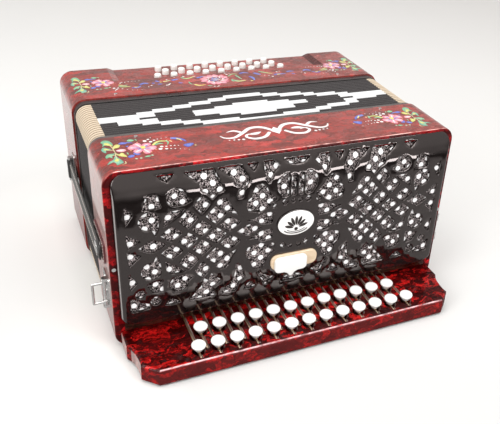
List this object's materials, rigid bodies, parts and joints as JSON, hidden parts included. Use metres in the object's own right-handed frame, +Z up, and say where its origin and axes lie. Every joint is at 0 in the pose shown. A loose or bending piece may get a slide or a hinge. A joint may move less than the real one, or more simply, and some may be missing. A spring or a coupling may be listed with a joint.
{
  "type": "diatonic button accordion",
  "caption": "Diatonic button accordion with pierced grille, fingerboard keys, sliding bellows, bass button recess, straps and strap rings.",
  "frame": {"origin": "centre of the flat back wall of the treble casing, on the plane the instrument rests on", "axes": "+Z up through the decorated front face, +X along the long side of the casings, +Y from the treble end with its fingerboard to the bass end"},
  "size_m": [0.3945, 0.3643, 0.1982],
  "materials": {
    "red_pearloid": "gloss celluloid skin with pearl flake",
    "black_gloss": "moulded black gloss",
    "glitter_cloth": "black cloth with silver thread and white dots",
    "white_plastic": "polished white plastic",
    "key_metal": "levers with white caps and felted wooden pallets",
    "steel": "polished",
    "spring_steel": "drawn wire",
    "spruce": "unfinished softwood",
    "reed_block_wood": "unfinished wood with aluminium reed plates",
    "bellows_cloth": "black cloth on folded card with white bands and beige corner cloth",
    "frame_black": "black covering on wood",
    "strap_leather": "black grained leather, stitched",
    "tab_leather": "dark red leather",
    "cream_plastic": "cream plastic escutcheon and white badge"
  },
  "bodies": {
    "treble_body": {"treble_casing": "red_pearloid", "treble_soundboard": "spruce", "treble_grille": "black_gloss", "grille_cloth": "glitter_cloth", "fingerboard": "red_pearloid", "treble_key_axle": "steel", "treble_key_springs": "spring_steel", "treble_reed_blocks": "reed_block_wood", "treble_bellows_frame": "frame_black", "treble_metal_fittings": "steel", "grille_plates": "cream_plastic", "strap_tabs": "tab_leather", "bellows": "bellows_cloth"},
    "register_slider": {"register_slider": "white_plastic"},
    "bass_body": {"bass_casing": "red_pearloid", "bass_soundboard": "spruce", "bass_cover": "red_pearloid", "bass_button_plate": "red_pearloid", "bass_axles": "steel", "bass_reed_blocks": "reed_block_wood", "bass_bellows_frame": "frame_black", "bass_metal_fittings": "steel", "hand_strap": "strap_leather", "hand_strap_brackets": "steel"},
    "bass_buttons_front": {"bass_buttons_front": "white_plastic"},
    "bass_buttons_middle": {"bass_buttons_middle": "white_plastic"},
    "bass_buttons_back": {"bass_buttons_back": "white_plastic"},
    "bass_pallets_front": {"bass_pallets_front": "key_metal"},
    "bass_pallets_middle": {"bass_pallets_middle": "key_metal"},
    "bass_pallets_back": {"bass_pallets_back": "key_metal"},
    "air_button": {"air_button": "white_plastic"},
    "bellows_strap_left": {"bellows_strap_left": "strap_leather"},
    "bellows_strap_right": {"bellows_strap_right": "strap_leather"},
    "strap_ring_left": {"strap_ring_left": "steel"},
    "strap_ring_right": {"strap_ring_right": "steel"},
    "treble_key_01": {"treble_key_01": "key_metal"},
    "treble_key_02": {"treble_key_02": "key_metal"},
    "treble_key_03": {"treble_key_03": "key_metal"},
    "treble_key_04": {"treble_key_04": "key_metal"},
    "treble_key_05": {"treble_key_05": "key_metal"},
    "treble_key_06": {"treble_key_06": "key_metal"},
    "treble_key_07": {"treble_key_07": "key_metal"},
    "treble_key_08": {"treble_key_08": "key_metal"},
    "treble_key_09": {"treble_key_09": "key_metal"},
    "treble_key_10": {"treble_key_10": "key_metal"},
    "treble_key_11": {"treble_key_11": "key_metal"},
    "treble_key_12": {"treble_key_12": "key_metal"},
    "treble_key_13": {"treble_key_13": "key_metal"},
    "treble_key_14": {"treble_key_14": "key_metal"},
    "treble_key_15": {"treble_key_15": "key_metal"},
    "treble_key_16": {"treble_key_16": "key_metal"},
    "treble_key_17": {"treble_key_17": "key_metal"},
    "treble_key_18": {"treble_key_18": "key_metal"},
    "treble_key_19": {"treble_key_19": "key_metal"},
    "treble_key_20": {"treble_key_20": "key_metal"},
    "treble_key_21": {"treble_key_21": "key_metal"},
    "treble_key_22": {"treble_key_22": "key_metal"},
    "treble_key_23": {"treble_key_23": "key_metal"},
    "treble_key_24": {"treble_key_24": "key_metal"},
    "treble_key_25": {"treble_key_25": "key_metal"}
  },
  "joints": [
    {"name": "air_button_push", "type": "slide", "parent": "bass_body", "child": "air_button", "axis": [0, -1, 0], "range_m": [0, 0.004], "stiffness_N_per_m": 600},
    {"name": "bass_front_row_press", "type": "slide", "parent": "bass_body", "child": "bass_buttons_front", "axis": [0, 0, -1], "range_m": [0, 0.0035], "stiffness_N_per_m": 600},
    {"name": "bass_middle_row_press", "type": "slide", "parent": "bass_body", "child": "bass_buttons_middle", "axis": [0, 0, -1], "range_m": [0, 0.0035], "stiffness_N_per_m": 600},
    {"name": "bass_back_row_press", "type": "slide", "parent": "bass_body", "child": "bass_buttons_back", "axis": [0, 0, -1], "range_m": [0, 0.0035], "stiffness_N_per_m": 600},
    {"name": "bass_front_pallets_lift", "type": "hinge", "parent": "bass_body", "child": "bass_pallets_front", "pos_m": [0, 0.2095, 0.165], "axis": [1, 0, 0], "range_deg": [0, 11.76]},
    {"name": "bass_middle_pallets_lift", "type": "hinge", "parent": "bass_body", "child": "bass_pallets_middle", "pos_m": [0, 0.2215, 0.12], "axis": [1, 0, 0], "range_deg": [0, 11.76]},
    {"name": "bass_back_pallets_lift", "type": "hinge", "parent": "bass_body", "child": "bass_pallets_back", "pos_m": [0, 0.199, 0.022], "axis": [1, 0, 0], "range_deg": [-11.76, 0]},
    {"name": "bellows_pull", "type": "slide", "parent": "treble_body", "child": "bass_body", "axis": [0, 1, 0], "range_m": [0, 0.26], "deforming": ["bellows"]},
    {"name": "closing_strap_left_open", "type": "hinge", "parent": "bass_body", "child": "bellows_strap_left", "pos_m": [-0.1892, 0.169, 0.101], "axis": [0, 0, -1], "range_deg": [0, 100]},
    {"name": "closing_strap_right_open", "type": "hinge", "parent": "bass_body", "child": "bellows_strap_right", "pos_m": [0.1892, 0.169, 0.101], "axis": [0, 0, 1], "range_deg": [0, 100]},
    {"name": "register_slide", "type": "slide", "parent": "treble_body", "child": "register_slider", "axis": [1, 0, 0], "range_m": [0, 0.009]},
    {"name": "shoulder_ring_left_swing", "type": "hinge", "parent": "treble_body", "child": "strap_ring_left", "pos_m": [-0.1896, -0.027, 0.064], "axis": [0, 0, 1], "range_deg": [-75, 75]},
    {"name": "shoulder_ring_right_swing", "type": "hinge", "parent": "treble_body", "child": "strap_ring_right", "pos_m": [0.1896, -0.027, 0.064], "axis": [0, 0, 1], "range_deg": [-165, 0]},
    {"name": "treble_key_01_press", "type": "hinge", "parent": "treble_body", "child": "treble_key_01", "pos_m": [-0.116, -0.014, 0.014], "axis": [1, 0, 0], "range_deg": [0, 3.4], "stiffness_Nm_per_rad": 2, "deforming": ["treble_key_springs"]},
    {"name": "treble_key_02_press", "type": "hinge", "parent": "treble_body", "child": "treble_key_02", "pos_m": [-0.10625, -0.014, 0.014], "axis": [1, 0, 0], "range_deg": [0, 5.2], "stiffness_Nm_per_rad": 2, "deforming": ["treble_key_springs"]},
    {"name": "treble_key_03_press", "type": "hinge", "parent": "treble_body", "child": "treble_key_03", "pos_m": [-0.0965, -0.014, 0.014], "axis": [1, 0, 0], "range_deg": [0, 3.4], "stiffness_Nm_per_rad": 2, "deforming": ["treble_key_springs"]},
    {"name": "treble_key_04_press", "type": "hinge", "parent": "treble_body", "child": "treble_key_04", "pos_m": [-0.08675, -0.014, 0.014], "axis": [1, 0, 0], "range_deg": [0, 5.2], "stiffness_Nm_per_rad": 2, "deforming": ["treble_key_springs"]},
    {"name": "treble_key_05_press", "type": "hinge", "parent": "treble_body", "child": "treble_key_05", "pos_m": [-0.077, -0.014, 0.014], "axis": [1, 0, 0], "range_deg": [0, 3.4], "stiffness_Nm_per_rad": 2, "deforming": ["treble_key_springs"]},
    {"name": "treble_key_06_press", "type": "hinge", "parent": "treble_body", "child": "treble_key_06", "pos_m": [-0.06725, -0.014, 0.014], "axis": [1, 0, 0], "range_deg": [0, 5.2], "stiffness_Nm_per_rad": 2, "deforming": ["treble_key_springs"]},
    {"name": "treble_key_07_press", "type": "hinge", "parent": "treble_body", "child": "treble_key_07", "pos_m": [-0.0575, -0.014, 0.014], "axis": [1, 0, 0], "range_deg": [0, 3.4], "stiffness_Nm_per_rad": 2, "deforming": ["treble_key_springs"]},
    {"name": "treble_key_08_press", "type": "hinge", "parent": "treble_body", "child": "treble_key_08", "pos_m": [-0.04775, -0.014, 0.014], "axis": [1, 0, 0], "range_deg": [0, 5.2], "stiffness_Nm_per_rad": 2, "deforming": ["treble_key_springs"]},
    {"name": "treble_key_09_press", "type": "hinge", "parent": "treble_body", "child": "treble_key_09", "pos_m": [-0.038, -0.014, 0.014], "axis": [1, 0, 0], "range_deg": [0, 3.4], "stiffness_Nm_per_rad": 2, "deforming": ["treble_key_springs"]},
    {"name": "treble_key_10_press", "type": "hinge", "parent": "treble_body", "child": "treble_key_10", "pos_m": [-0.02825, -0.014, 0.014], "axis": [1, 0, 0], "range_deg": [0, 5.2], "stiffness_Nm_per_rad": 2, "deforming": ["treble_key_springs"]},
    {"name": "treble_key_11_press", "type": "hinge", "parent": "treble_body", "child": "treble_key_11", "pos_m": [-0.0185, -0.014, 0.014], "axis": [1, 0, 0], "range_deg": [0, 3.4], "stiffness_Nm_per_rad": 2, "deforming": ["treble_key_springs"]},
    {"name": "treble_key_12_press", "type": "hinge", "parent": "treble_body", "child": "treble_key_12", "pos_m": [-0.00875, -0.014, 0.014], "axis": [1, 0, 0], "range_deg": [0, 5.2], "stiffness_Nm_per_rad": 2, "deforming": ["treble_key_springs"]},
    {"name": "treble_key_13_press", "type": "hinge", "parent": "treble_body", "child": "treble_key_13", "pos_m": [0.001, -0.014, 0.014], "axis": [1, 0, 0], "range_deg": [0, 3.4], "stiffness_Nm_per_rad": 2, "deforming": ["treble_key_springs"]},
    {"name": "treble_key_14_press", "type": "hinge", "parent": "treble_body", "child": "treble_key_14", "pos_m": [0.01075, -0.014, 0.014], "axis": [1, 0, 0], "range_deg": [0, 5.2], "stiffness_Nm_per_rad": 2, "deforming": ["treble_key_springs"]},
    {"name": "treble_key_15_press", "type": "hinge", "parent": "treble_body", "child": "treble_key_15", "pos_m": [0.0205, -0.014, 0.014], "axis": [1, 0, 0], "range_deg": [0, 3.4], "stiffness_Nm_per_rad": 2, "deforming": ["treble_key_springs"]},
    {"name": "treble_key_16_press", "type": "hinge", "parent": "treble_body", "child": "treble_key_16", "pos_m": [0.03025, -0.014, 0.014], "axis": [1, 0, 0], "range_deg": [0, 5.2], "stiffness_Nm_per_rad": 2, "deforming": ["treble_key_springs"]},
    {"name": "treble_key_17_press", "type": "hinge", "parent": "treble_body", "child": "treble_key_17", "pos_m": [0.04, -0.014, 0.014], "axis": [1, 0, 0], "range_deg": [0, 3.4], "stiffness_Nm_per_rad": 2, "deforming": ["treble_key_springs"]},
    {"name": "treble_key_18_press", "type": "hinge", "parent": "treble_body", "child": "treble_key_18", "pos_m": [0.04975, -0.014, 0.014], "axis": [1, 0, 0], "range_deg": [0, 5.2], "stiffness_Nm_per_rad": 2, "deforming": ["treble_key_springs"]},
    {"name": "treble_key_19_press", "type": "hinge", "parent": "treble_body", "child": "treble_key_19", "pos_m": [0.0595, -0.014, 0.014], "axis": [1, 0, 0], "range_deg": [0, 3.4], "stiffness_Nm_per_rad": 2, "deforming": ["treble_key_springs"]},
    {"name": "treble_key_20_press", "type": "hinge", "parent": "treble_body", "child": "treble_key_20", "pos_m": [0.06925, -0.014, 0.014], "axis": [1, 0, 0], "range_deg": [0, 5.2], "stiffness_Nm_per_rad": 2, "deforming": ["treble_key_springs"]},
    {"name": "treble_key_21_press", "type": "hinge", "parent": "treble_body", "child": "treble_key_21", "pos_m": [0.079, -0.014, 0.014], "axis": [1, 0, 0], "range_deg": [0, 3.4], "stiffness_Nm_per_rad": 2, "deforming": ["treble_key_springs"]},
    {"name": "treble_key_22_press", "type": "hinge", "parent": "treble_body", "child": "treble_key_22", "pos_m": [0.08875, -0.014, 0.014], "axis": [1, 0, 0], "range_deg": [0, 5.2], "stiffness_Nm_per_rad": 2, "deforming": ["treble_key_springs"]},
    {"name": "treble_key_23_press", "type": "hinge", "parent": "treble_body", "child": "treble_key_23", "pos_m": [0.0985, -0.014, 0.014], "axis": [1, 0, 0], "range_deg": [0, 3.4], "stiffness_Nm_per_rad": 2, "deforming": ["treble_key_springs"]},
    {"name": "treble_key_24_press", "type": "hinge", "parent": "treble_body", "child": "treble_key_24", "pos_m": [0.10825, -0.014, 0.014], "axis": [1, 0, 0], "range_deg": [0, 5.2], "stiffness_Nm_per_rad": 2, "deforming": ["treble_key_springs"]},
    {"name": "treble_key_25_press", "type": "hinge", "parent": "treble_body", "child": "treble_key_25", "pos_m": [0.118, -0.014, 0.014], "axis": [1, 0, 0], "range_deg": [0, 3.4], "stiffness_Nm_per_rad": 2, "deforming": ["treble_key_springs"]}
  ],
  "couplings": [
    {"joint": "bass_front_pallets_lift", "follows": "bass_front_row_press", "rad_per_m": 57.143},
    {"joint": "bass_middle_pallets_lift", "follows": "bass_middle_row_press", "rad_per_m": 57.143},
    {"joint": "bass_back_pallets_lift", "follows": "bass_back_row_press", "rad_per_m": -57.143}
  ]
}
